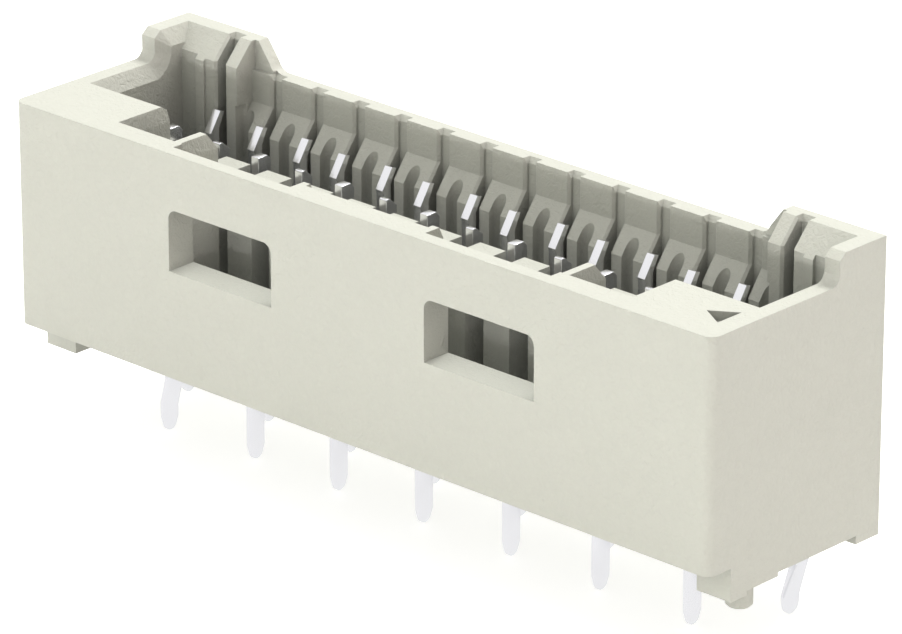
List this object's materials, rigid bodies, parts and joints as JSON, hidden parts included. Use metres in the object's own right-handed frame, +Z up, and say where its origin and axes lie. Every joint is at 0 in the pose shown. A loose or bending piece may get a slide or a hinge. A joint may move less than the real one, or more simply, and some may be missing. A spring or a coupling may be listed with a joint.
{
  "type": "board header",
  "caption": "Upright shrouded through-hole header with latch windows, raised rear horns, a row of fork contacts, a locating peg and a board clip.",
  "frame": {"origin": "centre of the housing's length and depth in the plane on which the four standoffs rest, which is the top of the circuit board", "axes": "+X along the contact row towards way one, +Y from the latch windows to the rear wall, +Z up away from the board"},
  "size_m": [0.04, 0.0106, 0.0158],
  "materials": {
    "moulding": "ivory moulded plastic with a very fine spark-eroded grain",
    "tinned_metal": "tin-plated copper alloy strip, satin, with sheared edges"
  },
  "bodies": {
    "root": {"housing": "moulding", "contact_01": "tinned_metal", "contact_02": "tinned_metal", "contact_03": "tinned_metal", "contact_04": "tinned_metal", "contact_05": "tinned_metal", "contact_06": "tinned_metal", "contact_07": "tinned_metal", "contact_08": "tinned_metal", "contact_09": "tinned_metal", "contact_10": "tinned_metal", "contact_11": "tinned_metal", "contact_12": "tinned_metal", "contact_13": "tinned_metal", "contact_14": "tinned_metal", "board_clip": "tinned_metal"}
  },
  "joints": []
}
